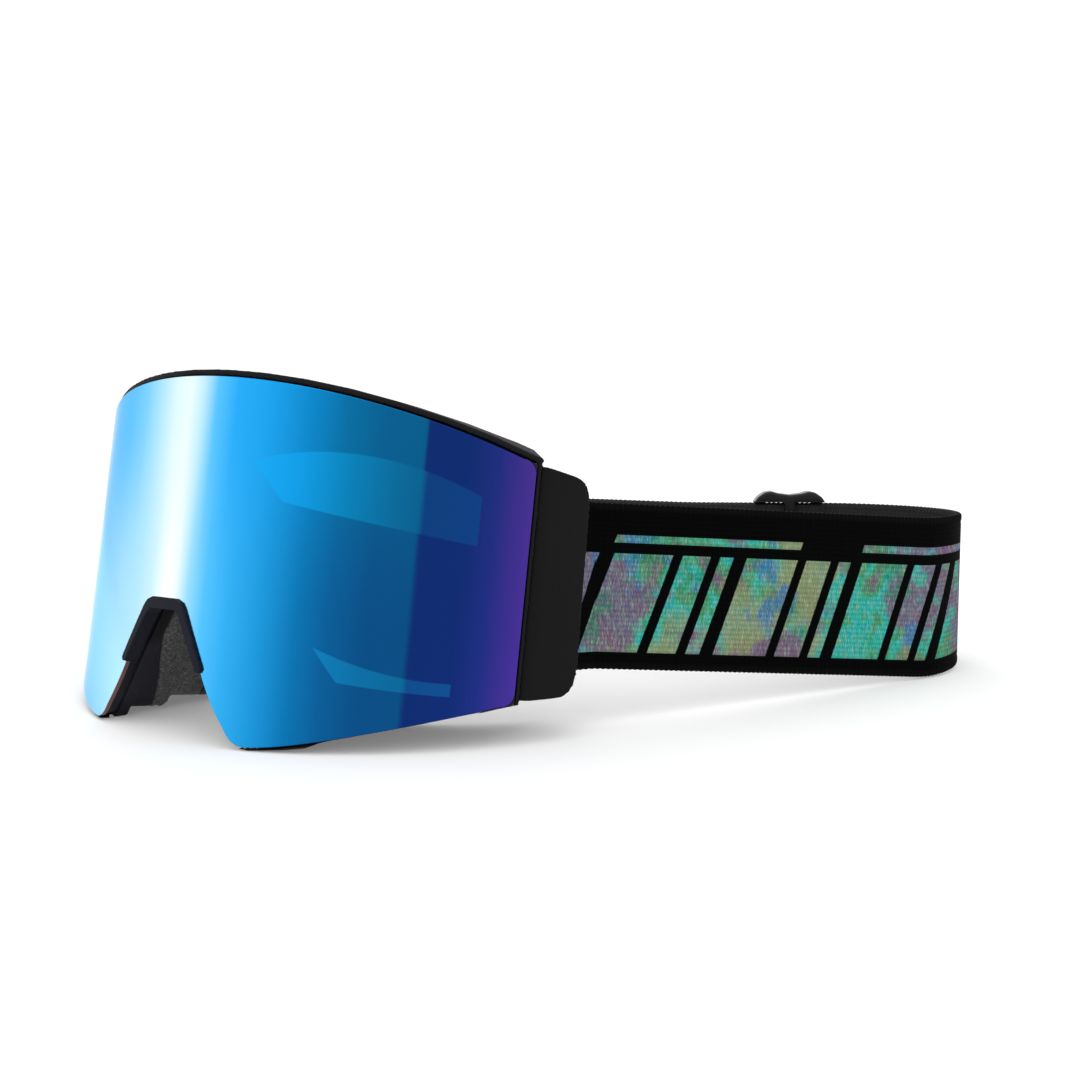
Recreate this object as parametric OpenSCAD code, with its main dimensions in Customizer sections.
// Ski goggles with a one-piece cylindrical lens, a soft frame, hinged strap
// outriggers and an elastic head strap. Millimetres, +Z up, front towards -Y.
// The goggles lean back on their lower rim and the strap stands on its edge.
// The origin is the middle of the footprint; the right-hand side is +X.

/* [Lens] */
// Radius of the lens's cylindrical front face
lens_r = 100; // [98:0.5:104]
// Angle from the middle of the lens to each side edge, in degrees
lens_half_angle = 57.4; // [56:0.2:58]
// Height of the brow edge above the lens's reference line, at the middle
lens_top = 47.5; // [46:0.5:50]
// Depth of the cheek lobes below the lens's reference line
lens_low = 48.2; // [47:0.2:49]
// How far the brow edge has dropped at the side edges
brow_drop = 16.2; // [14:0.2:18]
// Thickness of the outer lens
outer_lens_t = 1.6; // [1.2:0.1:1.8]
// Thickness of the inner lens
inner_lens_t = 1.2; // [1:0.1:1.4]
// Radius of the lens's four corners
lens_corner_r = 5; // [3:0.5:6]

/* [Nose] */
// Half width of the nose arch where the edge trim ends
arch_half_w = 15.5; // [14.5:0.1:16]
// Level of the nose arch where the edge trim ends
arch_trim_z = -30.6; // [-32:0.1:-30]
// Level of the top of the nose notch
arch_top_z = -15; // [-16:0.1:-14.5]
// Width of the rubber edge trim across its face
trim_w = 3.1; // [2.6:0.1:3.3]
// How far the rubber edge trim stands proud of the lens
trim_proud = 1; // [0.8:0.1:1.8]

/* [Frame] */
// Backward lean of the goggles on the table, in degrees
lean = 9.75; // [9.5:0.05:10]
// Height of the lens's reference line above the table
ref_h = 32.3; // [32:0.1:32.6]
// Rim above the lens along the brow
rim_top = 2; // [1.6:0.1:2.2]
// Rim below the lens along the cheeks
rim_low = 0.9; // [0.8:0.1:1]
// Half width of the frame's tube behind the lens
tube_half_w = 77; // [76:0.5:77]
// Wall thickness of the frame's tube
tube_wall = 2.4; // [2.2:0.1:2.6]
// Radius of the curve that follows the face
face_r = 95; // [92:1:98]
// Distance of the face curve's axis behind the lens's axis
face_y = 15; // [14:0.5:15.5]
// Width of one vent slot in the brow
vent_w = 15; // [12:1:17]

/* [Face foam] */
// Thickness of the firm foam layer
foam_base_t = 11; // [9:0.5:12]
// Thickness of the soft foam layer
foam_mid_t = 7; // [5:0.5:7]
// Thickness of the fleece layer
fleece_t = 2; // [1.5:0.5:2]
// Width of the foam ring
foam_w = 13; // [11:0.5:14]
// Thickness of the foam that lines the nose arch
lining_t = 1.2; // [1:0.1:1.3]

/* [Outriggers] */
// Angle round the lens's axis to the outrigger's hinge, in degrees
hinge_angle = 60.6; // [60.4:0.1:61]
// Distance of the outrigger's hinge from the lens's axis
hinge_r = 94.8; // [94.6:0.1:95]
// Angle round the lens's axis to the strap bar, in degrees
bar_angle = 66; // [65.8:0.1:66.2]
// Distance of the strap bar from the lens's axis
bar_r = 93; // [92.8:0.1:93.1]
// Thickness of the outrigger's cover
cover_t = 3.1; // [2.6:0.1:3.1]
// Radius of the outrigger's hinge pin
pin_r = 1; // [0.8:0.1:1.1]
// Radius of the hinge's knuckles
knuckle_r = 2; // [1.8:0.05:2]
// Radius of the strap bar
strap_bar_r = 1.6; // [1.4:0.1:1.6]

/* [Strap] */
// Thickness of the elastic webbing
web_t = 2; // [1.6:0.1:2.1]
// Width of the webbing where it is sewn to the outriggers
web_w_front = 46; // [44:0.5:46.5]
// Width of the webbing at the back of the loop
web_w_rear = 53; // [50:0.5:54]
// Direction of the right-hand run, in degrees outwards from straight back
near_heading = 24.5; // [23:0.5:26]
// Length of the right-hand run from its bar to the rear bend
near_run = 141; // [134:1:144]
// Radius of the rear bend
bend_r = 38; // [34:1:42]
// Direction of the run that carries the adjuster, in degrees from straight back
adjust_heading = 60; // [56:1:64]
// Length of the run that carries the adjuster
adjust_run = 52; // [50:1:56]
// Radius of the easy bend after the adjuster
easy_r = 120; // [100:5:140]
// Direction in which the left-hand run leaves its bar, in degrees inwards
left_heading = 3; // [0:1:5]
// Length of the left-hand run from its bar to its bend
left_run = 46; // [42:1:50]
// Radius of the left-hand bend
left_r = 55; // [45:1:65]
// Radius round the bar at which the swinging webbing starts
swing_r = 27; // [26.5:0.1:28]

/* [Adjuster] */
// Length of the adjuster along the strap
adj_len = 27; // [24:1:28]
// Distance of the adjuster's middle from the rear bend
adj_pos = 15.5; // [15.5:0.5:18]
// Thickness of the adjuster's rails and bars
adj_bar = 2; // [1.8:0.1:2.2]

/* [Hidden] */
$fn = 96;

magnet_color = [0.7, 0.7, 0.72];
vent_foam_color = [0.2, 0.2, 0.21];
cover_color = [0.085, 0.085, 0.09];
arm_color = [0.13, 0.13, 0.14];
web_color = [0.03, 0.03, 0.035];

// ---- outline ----
// The cheek edge is a hyperbola, lowest at its lobe
lobe_arc = 28;
lobe_w = 14;
cheek_rise = 0.292;
// Sideways growth of the nose arch for each millimetre of growth at its top
arch_side_growth = 1.15;

// Distance round the lens's face to an angle, and back to a flat x position
function arc(angle) = lens_r * angle * PI / 180;
function flat_x(dist) = lens_r * sin(min(dist / lens_r * 180 / PI, 89));
side_arc = arc(lens_half_angle);
// Levels of the brow and cheek edges at a distance round the lens
function brow(dist) = lens_top - brow_drop * pow(dist / side_arc, 2);
function cheek(dist) =
    -lens_low + cheek_rise * (sqrt(pow(dist - lobe_arc, 2) + pow(lobe_w, 2)) - lobe_w);
// Half width of the nose arch at a level z; it flares below the trim's end
function arch(z) =
    let (drop = arch_trim_z - z)
    drop > 0 ? arch_half_w + 0.471 * drop + 0.0148 * drop * drop : arch_half_w + 0.615 * drop;

// Right half of the goggles' outline as [x, z], from the brow's middle round
// to the nose arch, grown by a distance at the brow, cheeks, side and arch
function half_outline(brow_grow, cheek_grow, side_grow, arch_grow) =
    let (corner = lens_corner_r,
         bend = side_arc + side_grow - corner,
         arch_in = arch_side_growth * arch_grow,
         foot_z = -lens_low + 1.6 - cheek_grow,
         top_z = arch_top_z - arch_grow,
         foot = arch(foot_z) - arch_in)
    concat(
        [for (i = [0:7]) let (dist = bend * i / 8) [flat_x(dist), brow(dist) + brow_grow]],
        [for (a = [0:30:90])
            [flat_x(bend + corner * sin(a)), brow(bend) + brow_grow - corner + corner * cos(a)]],
        [for (a = [0:30:90])
            [flat_x(bend + corner * cos(a)), cheek(bend) - cheek_grow + corner - corner * sin(a)]],
        [for (i = [1:7]) let (dist = bend + (foot + 4.2 - bend) * i / 7)
            [flat_x(dist), cheek(dist) - cheek_grow]],
        [[flat_x(foot + 1.8), foot_z - 1.2]],
        [for (i = [0:6]) let (z = foot_z + (top_z - foot_z) * i / 6)
            [flat_x(arch(z) - arch_in), z]],
        [[flat_x(arch(top_z) - arch_in - 1.6), top_z + 1]]);
// Adds the left half to a right half; a first point at x = 0 isn't repeated
function mirrored(points) =
    concat(points, [for (i = [len(points) - 1:-1:(points[0].x == 0 ? 1 : 0)])
        [-points[i].x, points[i].y]]);

// ---- shared solids ----
module front_to_back(length) {
    translate([0, 20, 0]) rotate([90, 0, 0]) linear_extrude(height = length) children();
}
// A solid with the outline, straight through from front to back
module outline_prism(brow_grow, cheek_grow, side_grow, arch_grow) {
    front_to_back(140)
        polygon(mirrored(half_outline(brow_grow, cheek_grow, side_grow, arch_grow)));
}
// The same, ended at its sides by planes through the lens's axis
module outline_wedge(grow, arch_grow, side_angle, cheek_grow = undef) {
    plane_x = 160 * sin(side_angle);
    plane_y = -160 * cos(side_angle);
    intersection() {
        outline_prism(grow, is_undef(cheek_grow) ? grow : cheek_grow, 3, arch_grow);
        translate([0, 0, -70]) linear_extrude(height = 140)
            polygon([[0, 0], [plane_x, plane_y], [0, -220], [-plane_x, plane_y]]);
    }
}
// The same, for the narrower tube behind the lens
module tube_prism(brow_grow, cheek_grow, half_w, arch_grow) {
    // the upper corners are sloped off, level with the tops of the outriggers
    slope_z = 29.4 + 0.83 * (tube_half_w - half_w) + 1.3 * brow_grow;
    intersection() {
        outline_prism(brow_grow, cheek_grow, 3, arch_grow);
        front_to_back(150)
            polygon([[half_w, -70], [half_w, slope_z], [half_w - 60, slope_z + 50],
                     [60 - half_w, slope_z + 50], [-half_w, slope_z], [-half_w, -70]]);
    }
}
module disc(r, y = 0, h = 140) {
    translate([0, y, -h / 2]) cylinder(r = r, h = h, $fn = 160);
}
// A shell round the lens's axis
module shell(outer_r, inner_r, h = 140) {
    difference() {
        disc(outer_r, 0, h);
        disc(inner_r, 0, h);
    }
}
// The space from a cylinder round the lens's axis back to the face curve
module lens_to_face(front_r, back_y) {
    difference() {
        disc(front_r);
        disc(face_r, back_y);
    }
}
// A layer that follows the face, between two places of the face curve's axis
module face_layer(front_y, back_y) {
    difference() {
        disc(face_r, front_y);
        disc(face_r, back_y);
    }
}

// ---- strap path ----
// Plan positions on the table, before centring. Directions are in degrees
// from +X, and the path runs from the right-hand bar to the left-hand bar.
function heading(dir) = [cos(dir), sin(dir)];
function leftward(dir) = [-sin(dir), cos(dir)];

lean_cos = cos(lean);
lean_sin = sin(lean);
bar_x = bar_r * sin(bar_angle);
bar_frame_y = -bar_r * cos(bar_angle); // in the goggles' own, upright frame
bar_y = bar_frame_y * lean_cos;
bar_z = -bar_frame_y * lean_sin + ref_h;
right_bar = [bar_x, bar_y];
left_bar = [-bar_x, bar_y];

near_dir = 90 - near_heading;
rear_centre = right_bar + near_run * heading(near_dir) + bend_r * leftward(near_dir);
adjust_dir = 270 - adjust_heading;
adjust_start = rear_centre - bend_r * leftward(adjust_dir);
easy_centre = adjust_start + adjust_run * heading(adjust_dir) + easy_r * leftward(adjust_dir);
left_dir = 270 - left_heading;
left_centre = left_bar - left_run * heading(left_dir) + left_r * leftward(left_dir);
// The far run is the common tangent of the easy bend and the left-hand bend
between = left_centre - easy_centre;
far_run = sqrt(between * between - pow(easy_r - left_r, 2));
far_dir = atan2(between.y, between.x) + atan2(easy_r - left_r, far_run) + 360;

// Levels of the webbing's edges, as [lower, upper]
loop_up = 1.3; // middle of the webbing above the bar's middle
at_bar = [for (side = [-1, 1]) bar_z + (loop_up + side * web_w_front / 2) * lean_cos];
rear_low = 0.2;
at_rear = [rear_low, rear_low + web_w_rear];
adj_low = 4.2;
adj_high = adj_low + 50;
at_adj = [adj_low, adj_high];
at_left = at_bar + (at_adj - at_bar) * 0.3;
at_bend = at_bar + (at_adj - at_bar) * 0.55;
// The same along the right-hand run, at a distance from the bar
function near_edges(dist) = at_bar + (at_rear - at_bar) * dist / near_run;

// ---- placing ----
// Limits of the footprint; the left outrigger's cover and the nose trim set two
right_limit = rear_centre.x + bend_r + web_t / 2;
left_limit = -lens_r * sin(67.6);
back_limit = rear_centre.y + bend_r + web_t / 2;
front_limit = -(lens_r + 3.4);

module table_place() {
    translate([-(right_limit + left_limit) / 2, -(back_limit + front_limit) / 2, 0]) children();
}
module leaned() { translate([0, 0, ref_h]) rotate([-lean, 0, 0]) children(); }
module goggles_place() { table_place() leaned() children(); }
module left_side() { mirror([1, 0, 0]) children(); }
module both_sides() {
    children();
    left_side() children();
}
// Stands on a point round the lens's axis, with +X pointing outwards
module round_lens(angle, r, z = 0) {
    rotate([0, 0, angle - 90]) translate([r, 0, z]) children();
}

// ---- lens unit ----
gasket_r = lens_r - outer_lens_t - 0.02;
inner_r = lens_r - 5.6; // front face of the inner lens
inner_inset = 7.2;
inner_half_angle = lens_half_angle - 5.6;
carrier_in_r = 95.2;
magnet_t = 1.6;
magnet_w = 9;
lens_magnet_r = carrier_in_r + 0.9;
frame_magnet_r = carrier_in_r - 1.1;
magnet_slack = 0.1;

module lens_outer() {
    color([0.1, 0.55, 0.92]) goggles_place() intersection() {
        shell(lens_r, lens_r - outer_lens_t);
        outline_wedge(0, 0, lens_half_angle);
    }
}
module lens_inner() {
    color([0.75, 0.62, 0.5]) goggles_place() intersection() {
        shell(inner_r, inner_r - inner_lens_t);
        outline_wedge(-inner_inset, -inner_inset, inner_half_angle);
    }
}
module lens_gasket() {
    opening = inner_inset + 3;
    color([0.14, 0.14, 0.14]) goggles_place() intersection() {
        shell(gasket_r, inner_r + 0.02);
        difference() {
            outline_wedge(-inner_inset, -inner_inset, inner_half_angle);
            outline_wedge(-opening, -opening, lens_half_angle - 7.4);
        }
    }
}
module magnet(angle, r, z, height, slack) {
    round_lens(angle, r, z)
        cube([magnet_t + slack, magnet_w + slack, height + slack], center = true);
}
// The magnets along the brow and the cheeks, or their seats with some slack
module magnets(r, slack = 0) {
    for (a = [-48, -30, -12, 12, 30, 48]) magnet(a, r, brow(arc(abs(a))) - 3.1, 2.4, slack);
    for (a = [-46, -33, 33, 46]) magnet(a, r, cheek(arc(abs(a))) + 2.9, 2.2, slack);
}
module lens_carrier() {
    color([0.1, 0.1, 0.11]) goggles_place() difference() {
        intersection() {
            shell(gasket_r, carrier_in_r);
            difference() {
                outline_wedge(-0.8, -0.8, lens_half_angle - 0.5);
                outline_wedge(-5.6, -5.6, lens_half_angle - 3.2);
            }
        }
        magnets(lens_magnet_r, magnet_slack);
    }
}
module lens_magnets() { color(magnet_color) goggles_place() magnets(lens_magnet_r); }

// Right halves of the nose trim's edges as [x, z], from the middle outwards
trim_top = arch_top_z + 2.5;
trim_foot = [arch_half_w - 0.8, arch_trim_z - 0.3];
trim_outer = [
    [0, trim_top], [4.5, trim_top], [6.8, arch_top_z + 1.6], [8.1, arch_top_z],
    [arch_half_w + 0.3, arch_trim_z + 1.7], [arch_half_w + 0.8, arch_trim_z + 0.7],
    [arch_half_w + 0.3, arch_trim_z - 0.4], trim_foot];
trim_inner = [
    [0, trim_top - trim_w], [arch(arch_top_z - 0.7) - 1.3, trim_top - trim_w],
    [arch(arch_top_z - 2) - 0.5, arch_top_z - 2.1], trim_foot];
// Outer edge of the part that passes through the lens's notch
trim_notch = [
    [0, arch_top_z + 0.9], [arch(arch_top_z) - 1.8, arch_top_z + 0.9],
    [arch(arch_top_z) - 0.1, arch_top_z - 0.2],
    [arch_half_w - 0.05, arch_trim_z - 0.3], [arch_half_w - 0.8, arch_trim_z - 0.6]];

// An arch between an outer edge and the trim's inner edge, open at the bottom
module trim_prism(outer) {
    translate([0, -40, 0]) rotate([90, 0, 0]) linear_extrude(height = 80) difference() {
        polygon(mirrored(outer));
        polygon(mirrored(concat(trim_inner, [[trim_foot.x, arch_trim_z - 6]])));
    }
}
module nose_trim() {
    color([0.1, 0.105, 0.13]) goggles_place() union() {
        intersection() {
            shell(lens_r + trim_proud, lens_r + 0.03);
            trim_prism(trim_outer);
        }
        intersection() {
            shell(lens_r + 0.5, carrier_in_r + 1.6);
            trim_prism(trim_notch);
        }
    }
}

// ---- frame ----
tube_brow = 1.2;   // growth of the outline to the tube, at the brow
tube_cheek = -2.8; // and at the cheeks
flange_t = 2;
flange_inset = 0.6;
vent_front_r = 91.4;
hinge_x = hinge_r * sin(hinge_angle);
hinge_y = -hinge_r * cos(hinge_angle);
lug_h = 6;
lug_levels = [-20, 14]; // undersides of the two lugs
lug_top = lug_levels[1] + lug_h;

// Middle of the tube's depth at x, between the rim and the flange
function vent_y(x) =
    (-sqrt(vent_front_r * vent_front_r - x * x)
     + face_y - flange_t - sqrt(face_r * face_r - x * x)) / 2;

module vent_slot(x, z, size) {
    translate([x, vent_y(x), z]) rotate([0, 0, asin(x / 94)]) cube(size, center = true);
}
module vent_slots() {
    for (x = [-55, -33, -11, 11, 33, 55]) vent_slot(x, 45, [vent_w, 6.4, 36]);
    for (x = [-60, -43, 43, 60]) vent_slot(x, -38, [12, 6, 30]);
}
// Rim round the lens and the ledge that the lens sits on
module rim() {
    intersection() {
        shell(99.2, 91.6);
        difference() {
            outline_wedge(rim_top, 0.3, 58.6, rim_low);
            outline_wedge(-6.4, -6.4, lens_half_angle - 3.9);
        }
    }
}
// Tube that runs back to the face
module tube() {
    intersection() {
        lens_to_face(94.6, face_y);
        difference() {
            tube_prism(tube_brow, tube_cheek, tube_half_w, 0);
            tube_prism(tube_brow - tube_wall, tube_cheek - tube_wall,
                       tube_half_w - tube_wall, -tube_wall);
        }
    }
}
// Flange that carries the face foam
module flange() {
    intersection() {
        face_layer(face_y - flange_t, face_y);
        difference() {
            tube_prism(tube_brow - flange_inset, tube_cheek - flange_inset,
                       tube_half_w - flange_inset, -0.2 - lining_t);
            tube_prism(-10, -14, tube_half_w - 11, -10);
        }
    }
}
module hinge_lugs() {
    for (z = lug_levels) hull() {
        translate([hinge_x, hinge_y, z]) cylinder(r = knuckle_r, h = lug_h, $fn = 32);
        for (y = [-4, 2])
            translate([tube_half_w - 1.2, hinge_y + y, z]) cylinder(r = 1, h = lug_h, $fn = 24);
    }
}
// Pocket that the lens unit drops into
module lens_pocket() {
    intersection() {
        shell(110, carrier_in_r - 0.1);
        outline_wedge(0.35, 1.4, lens_half_angle + 0.3);
    }
}
// Between the cheek lobes and the side posts the lens covers the rim's lip
module lip_cut() {
    difference() {
        translate([48, -110, -60]) cube([30, 60, 40]);
        outline_prism(20, 0, 20, 0);
    }
}
module hinge_sweep() { translate([hinge_x, hinge_y, -36]) cylinder(r = 5.6, h = 68.4); }
// The tube's side, which the hinge clearance leaves standing
module tube_side(extra = 0) {
    translate([60, -80, -40]) cube([tube_half_w + extra - 60, 60, 80]);
}
module hinge_clearance() {
    // above, between and below the lugs
    difference() {
        hinge_sweep();
        for (z = lug_levels)
            translate([hinge_x - 12, hinge_y - 14, z - 0.02]) cube([20, 28, lug_h + 0.04]);
        tube_side();
    }
    // round the knuckles, leaving the necks that join the lugs to the tube
    difference() {
        hinge_sweep();
        translate([hinge_x, hinge_y, -37]) cylinder(r = 2.9, h = 78);
        tube_side(1.6);
        translate([hinge_x, hinge_y, -40]) linear_extrude(height = 80)
            polygon([[0, -2.05], [-3.4, -3.6], [-9, -6.2], [-9, 3.6], [-3.4, 3], [0, 2.05]]);
    }
    // bore for the pin
    translate([hinge_x, hinge_y, -36]) cylinder(r = pin_r + 0.02, h = 76);
}
module frame() {
    color([0.09, 0.09, 0.1]) difference() {
        goggles_place() difference() {
            union() {
                rim();
                tube();
                flange();
                both_sides() hinge_lugs();
            }
            lens_pocket();
            magnets(frame_magnet_r, magnet_slack);
            nose_lining(0.06, 2);
            both_sides() lip_cut();
            vent_slots();
            both_sides() hinge_clearance();
        }
        // flat where the rim stands on the table
        translate([-200, -200, -30]) cube([400, 400, 30]);
    }
}
module frame_magnets() { color(magnet_color) goggles_place() magnets(frame_magnet_r); }
module hinge_pins() {
    pin_end = lug_top + 0.4;
    color([0.75, 0.75, 0.77]) goggles_place() both_sides()
        translate([hinge_x, hinge_y, -pin_end]) cylinder(r = pin_r, h = 2 * pin_end, $fn = 32);
}

// ---- vent foam, inside the tube's wall ----
vent_foam_t = 3;
vent_foam_back = face_y - 2.2;
bore_half_w = tube_half_w - tube_wall;

module vent_foam_top() {
    outer = 1 - tube_wall;
    color(vent_foam_color) goggles_place() intersection() {
        lens_to_face(vent_front_r, vent_foam_back);
        difference() {
            tube_prism(outer, -20, bore_half_w - 2, -10);
            tube_prism(outer - vent_foam_t, -24, bore_half_w - 1, -14);
        }
        translate([-66, -100, 24]) cube([132, 60, 40]);
    }
}
module vent_foam_bottom() {
    outer = -3.6 - tube_wall;
    color(vent_foam_color) goggles_place() both_sides() intersection() {
        lens_to_face(vent_front_r, vent_foam_back);
        difference() {
            tube_prism(-10, outer, bore_half_w - 2, -12);
            tube_prism(-14, outer - vent_foam_t, bore_half_w - 1, -14);
        }
        translate([34, -100, -60]) cube([35, 60, 40]);
    }
}

// ---- face foam ----
layer_gap = 0.02;
foam_y0 = face_y + layer_gap;
foam_y1 = foam_y0 + foam_base_t;
foam_y2 = foam_y1 + foam_mid_t;
foam_y3 = foam_y2 + fleece_t;
// Growth of the outline to the foam ring's outer edge
foam_brow = -0.6;
foam_cheek = -6.2;
foam_arch = -1.2;
foam_half_w = tube_half_w - 1;

// Foam that lines the nose arch, ended in front on a plane that leans back
// downwards. With a gap and some growth at the arch it is the frame's recess.
module nose_lining(gap = 0, arch_grow = 0) {
    intersection() {
        lens_to_face(91.5 + gap, face_y + 0.5);
        difference() {
            tube_prism(tube_brow, tube_cheek + 6 * gap, 34 + gap, arch_grow);
            tube_prism(tube_brow, tube_cheek, 40, -lining_t - gap);
        }
        translate([-50, -93 - gap, -18]) rotate([atan(0.448), 0, 0])
            translate([0, 0, -50]) cube([100, 100, 100]);
    }
}
module foam_ring(inset, front_y, back_y, arch_grow = foam_arch) {
    intersection() {
        face_layer(front_y, back_y);
        difference() {
            tube_prism(foam_brow - inset, foam_cheek - inset, foam_half_w - inset,
                       arch_grow - inset);
            tube_prism(foam_brow - foam_w, foam_cheek - foam_w, foam_half_w - foam_w,
                       foam_arch - foam_w);
        }
    }
}
module face_foam_base() {
    color([0.19, 0.19, 0.2]) goggles_place() union() {
        foam_ring(0, foam_y0, foam_y1 - layer_gap, 0);
        nose_lining();
    }
}
module face_foam_mid() {
    color([0.25, 0.25, 0.26]) goggles_place() foam_ring(0, foam_y1, foam_y2 - layer_gap);
}
module face_foam_fleece() {
    color([0.12, 0.12, 0.13]) goggles_place() foam_ring(0.4, foam_y2, foam_y3);
}

// ---- outriggers, drawn for the right-hand side ----
screw_level = 26.7;
screw_angle = 64;
arm_outer_r = lens_r - cover_t - 0.05;
arm_knuckle_h = 2 * (lug_levels[1] - 0.2);
ear_end = 28.8;
ear_h = 4.2;
// The cover's side view as [y, z], from the upper front corner backwards
cover_outline = [
    [-54, 32], [-49.5, 31], [-45.6, 30.3], [-43, 29.8], [-41.4, 29], [-40.1, 27.6],
    [-39.3, 25.4], [-39, 22], [-38.1, -19], [-38.3, -22.4], [-38.9, -25.2],
    [-40.2, -27.2], [-42, -28.4], [-45, -29], [-54, -30.4]];

// Stands on each screw's axis, with +Z pointing outwards from the lens's axis
module at_screws(r) {
    for (z = [-screw_level, screw_level])
        round_lens(screw_angle, r, z) rotate([0, 90, 0]) children();
}
module cover_shape() {
    difference() {
        intersection() {
            shell(lens_r, lens_r - cover_t);
            translate([60, 0, 0]) rotate([90, 0, 90]) linear_extrude(height = 50)
                polygon(cover_outline);
            // the front edge keeps one distance from the hinge
            union() {
                translate([hinge_x, hinge_y, -40]) cylinder(r = 5.3, h = 80);
                translate([hinge_x - 10, hinge_y - 1, -40]) cube([30, 30, 80]);
            }
        }
        at_screws(90) cylinder(r = 0.82, h = 8.8, $fn = 24);
    }
}
// The two ears that hold the bar
module arm_ears() {
    for (z = [-ear_end, ear_end - ear_h]) {
        intersection() {
            shell(arm_outer_r, 90.6);
            translate([60, hinge_y + 3, z]) cube([50, bar_frame_y - hinge_y - 3, ear_h]);
        }
        translate([bar_x, bar_frame_y, z]) cylinder(r = strap_bar_r + 1, h = ear_h, $fn = 48);
    }
}
module arm_shape() {
    difference() {
        union() {
            translate([hinge_x, hinge_y, -arm_knuckle_h / 2])
                cylinder(r = knuckle_r, h = arm_knuckle_h, $fn = 48);
            // web behind the cover's front edge
            intersection() {
                shell(arm_outer_r, 94.75);
                translate([60, hinge_y + 3, -29]) cube([50, 1.9, 58]);
            }
            // neck that joins the web to the knuckle
            translate([0, 0, -arm_knuckle_h / 2]) intersection() {
                shell(arm_outer_r, 93.4, 60);
                translate([60, hinge_y, 0]) cube([50, 4.9, arm_knuckle_h]);
            }
            arm_ears();
            translate([bar_x, bar_frame_y, -26]) cylinder(r = strap_bar_r, h = 52, $fn = 48);
        }
        translate([hinge_x, hinge_y, -15]) cylinder(r = pin_r + 0.06, h = 30, $fn = 48);
        // screw holes and the recesses for the heads
        at_screws(0) {
            translate([0, 0, 90]) cylinder(r = 0.86, h = 9, $fn = 24);
            translate([0, 0, 88]) cylinder(r = 1.5, h = 6.4, $fn = 32);
        }
    }
}
// Screws put in from the inside, with slotted heads
module screws_shape() {
    at_screws(93.55) {
        cylinder(r = 0.8, h = 5, $fn = 24);
        difference() {
            translate([0, 0, 0.03]) cylinder(r = 1.4, h = 0.8, $fn = 32);
            translate([-0.2, -1, -0.3]) cube([0.4, 2, 0.6]);
        }
    }
}
module outrigger_cover_right() { color(cover_color) goggles_place() cover_shape(); }
module outrigger_cover_left() { color(cover_color) goggles_place() left_side() cover_shape(); }
module outrigger_arm_right() { color(arm_color) goggles_place() arm_shape(); }
module outrigger_arm_left() { color(arm_color) goggles_place() left_side() arm_shape(); }
module outrigger_screws_right() { color("silver") goggles_place() screws_shape(); }
module outrigger_screws_left() { color("silver") goggles_place() left_side() screws_shape(); }

// ---- strap ----
loop_web_t = 2;     // webbing in the sewn loops
loop_length = 40;   // before it is cut to the curve round the bar
second_run_t = 1.8; // webbing that returns from the adjuster
second_run_offset = web_t + 0.3;

// An upright sheet with its 2D child as [distance along dir, level]
module upright(point, dir, thickness, offset_left = 0) {
    translate([point.x, point.y, 0]) rotate([0, 0, dir]) translate([0, offset_left, 0])
        rotate([90, 0, 0]) translate([0, 0, -thickness / 2])
            linear_extrude(height = thickness) children();
}
// A cylinder that lies across the strap, level with the bar
module swing_cylinder(r) {
    translate([40, bar_y, bar_z]) rotate([0, 90, 0]) cylinder(r = r, h = 120);
}
// The webbing folded round the bar and sewn, ended on a curve round the bar
module loop_shape(outward) {
    end = near_edges(loop_length);
    intersection() {
        swing_cylinder(swing_r - 1.6);
        difference() {
            union() {
                leaned() translate([bar_x, bar_frame_y, loop_up - web_w_front / 2])
                    cylinder(r = strap_bar_r + loop_web_t, h = web_w_front, $fn = 48);
                upright(right_bar, 90 - outward, 2 * loop_web_t)
                    polygon([[(at_bar[0] - bar_z) * lean_sin, at_bar[0]], [loop_length, end[0]],
                             [loop_length, end[1]], [(at_bar[1] - bar_z) * lean_sin, at_bar[1]]]);
            }
            leaned() translate([bar_x, bar_frame_y, -60])
                cylinder(r = strap_bar_r + 0.05, h = 120, $fn = 48);
        }
    }
}
module strap_loop_right() { color(web_color) table_place() loop_shape(near_heading); }
module strap_loop_left() { color(web_color) table_place() left_side() loop_shape(-left_heading); }

// A station of the webbing is [x, y, direction, [lower, upper edge level]]
function station(point, dir, edges) = [point.x, point.y, dir, edges];
// Stations along a bend to the left, with the edges changing from start to end
function bend(centre, r, dir0, dir1, steps, edges0, edges1) =
    [for (i = [0:steps]) let (dir = dir0 + (dir1 - dir0) * i / steps)
        station(centre - r * leftward(dir), dir, edges0 + (edges1 - edges0) * i / steps)];
// A ribbon through a list of stations, moved off to the left
module ribbon(path, thickness, offset_left = 0) {
    last = 4 * (len(path) - 1);
    // corners of a section as [side, edge]
    corners = [[-1, 0], [1, 0], [1, 1], [-1, 1]];
    polyhedron(
        points = [for (p = path) for (c = corners)
            let (off = offset_left + c[0] * thickness / 2)
            [p.x - off * sin(p[2]), p.y + off * cos(p[2]), p[3][c[1]]]],
        faces = concat(
            [[0, 1, 2], [0, 2, 3], [last, last + 2, last + 1], [last, last + 3, last + 2]],
            [for (i = [0:len(path) - 2]) for (k = [0:3])
                let (a = 4 * i + k, b = 4 * i + (k + 1) % 4)
                each [[a, a + 4, b + 4], [a, b + 4, b]]]));
}
left_part = concat(
    bend(easy_centre, easy_r, adjust_dir, far_dir, 1, at_adj, at_adj),
    bend(left_centre, left_r, far_dir, left_dir, 12, at_bend, at_left),
    [station(left_bar, left_dir, at_bar)]);

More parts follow.
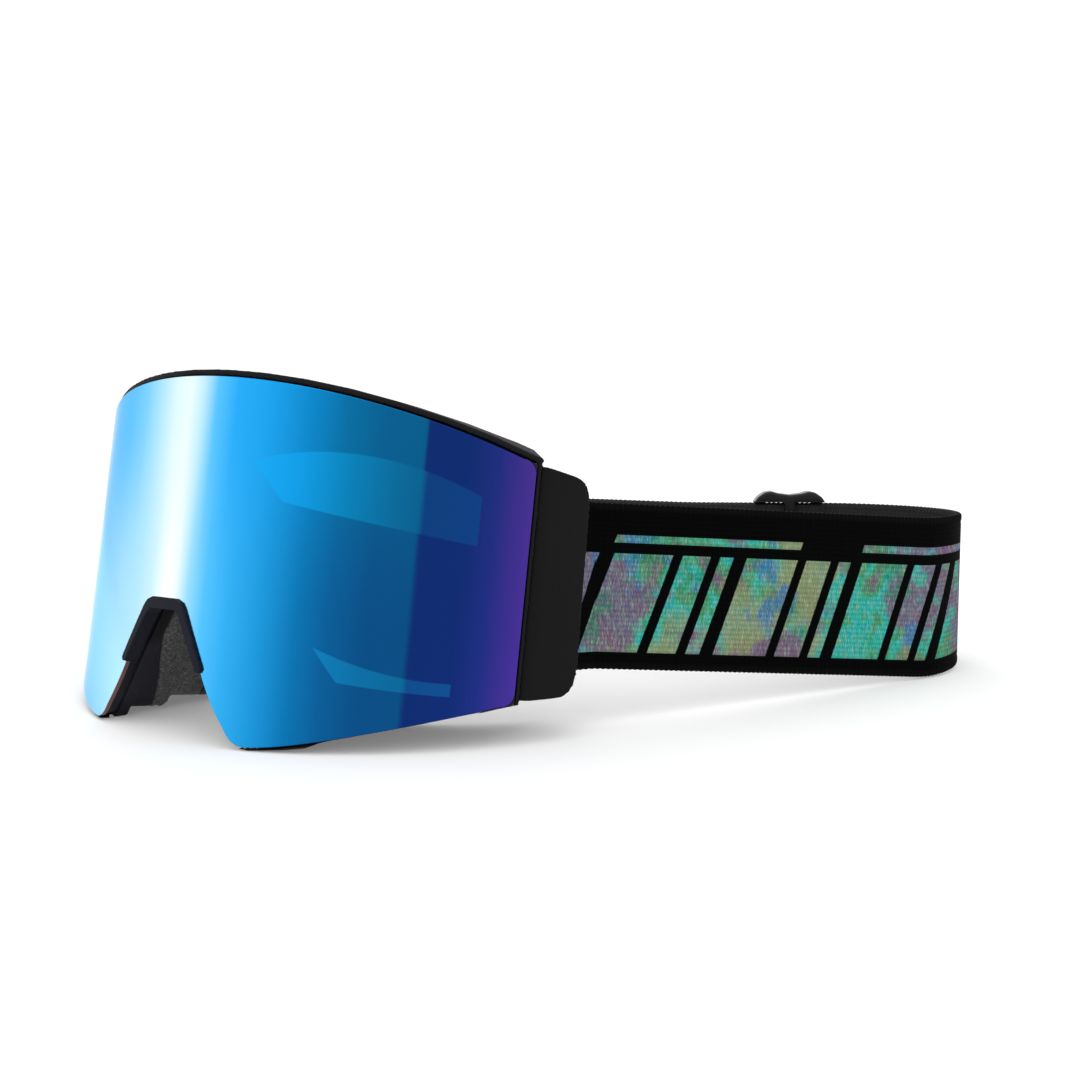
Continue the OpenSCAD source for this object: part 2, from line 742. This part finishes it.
module strap_webbing() {
    color(web_color) table_place() difference() {
        ribbon(concat([station(right_bar, near_dir, at_bar)],
                      bend(rear_centre, bend_r, near_dir, adjust_dir, 28, at_rear, at_adj),
                      left_part), web_t);
        both_sides() swing_cylinder(swing_r);
    }
}
// Second layer of webbing, from the adjuster to the left-hand bar
module strap_adjuster_run() {
    start = adjust_start + 2 * heading(adjust_dir);
    color(web_color) table_place() difference() {
        ribbon(concat([station(start, adjust_dir, at_adj)], left_part),
               second_run_t, second_run_offset);
        both_sides() swing_cylinder(swing_r);
    }
}
// Three thin lines on the inner face of the right-hand run
module strap_grip_lines() {
    start = right_bar + 62 * heading(near_dir);
    length = near_run - 64;
    color([0.2, 0.2, 0.22]) table_place() for (z = [13, 27, 41])
        upright(start, near_dir, 0.5, web_t / 2 + 0.26)
            polygon([[0, z + 3], [length, z - 1], [length, z + 1], [0, z + 5]]);
}

// ---- adjuster ----
slider_bar_w = 4;
slider_y0 = -web_t / 2 - 0.4 - adj_bar;
slider_y1 = second_run_offset + second_run_t / 2 + 0.4 + adj_bar;
// Half of a rail's profile: [distance from the adjuster's end, height]
rail_half = [[0, 0.3], [1.4, 2.4], [4, 4.2], [6.4, 4.6], [9, 3.8]];
rail_profile = concat(
    [for (p = rail_half) [p.x - adj_len / 2, p.y]],
    [[0, 3.2]],
    [for (i = [len(rail_half) - 1:-1:0]) [adj_len / 2 - rail_half[i].x, rail_half[i].y]]);

module slider_rail(level, height_factor) {
    translate([0, slider_y1, level]) rotate([90, 0, 0])
        linear_extrude(height = slider_y1 - slider_y0)
            polygon([for (p = rail_profile) [p.x, p.y * height_factor]]);
}
module slider_bar(x, y) {
    translate([x, y, adj_low - 1]) cube([slider_bar_w, adj_bar, adj_high - adj_low + 2]);
}
module strap_slider() {
    middle = adjust_start + adj_pos * heading(adjust_dir);
    bar_end = adj_len / 2 - 0.4;
    color([0.05, 0.05, 0.05]) table_place()
        translate([middle.x, middle.y, 0]) rotate([0, 0, adjust_dir]) union() {
            slider_rail(adj_high, 1);
            slider_rail(adj_low, -0.85);
            for (x = [-bar_end, bar_end - slider_bar_w]) slider_bar(x, slider_y0);
            slider_bar(-slider_bar_w / 2, slider_y1 - adj_bar);
        }
}

lens_outer();
lens_inner();
lens_gasket();
lens_carrier();
lens_magnets();
nose_trim();
frame();
frame_magnets();
vent_foam_top();
vent_foam_bottom();
face_foam_base();
face_foam_mid();
face_foam_fleece();
hinge_pins();
outrigger_cover_right();
outrigger_arm_right();
outrigger_screws_right();
strap_loop_right();
outrigger_cover_left();
outrigger_arm_left();
outrigger_screws_left();
strap_loop_left();
strap_webbing();
strap_adjuster_run();
strap_grip_lines();
strap_slider();
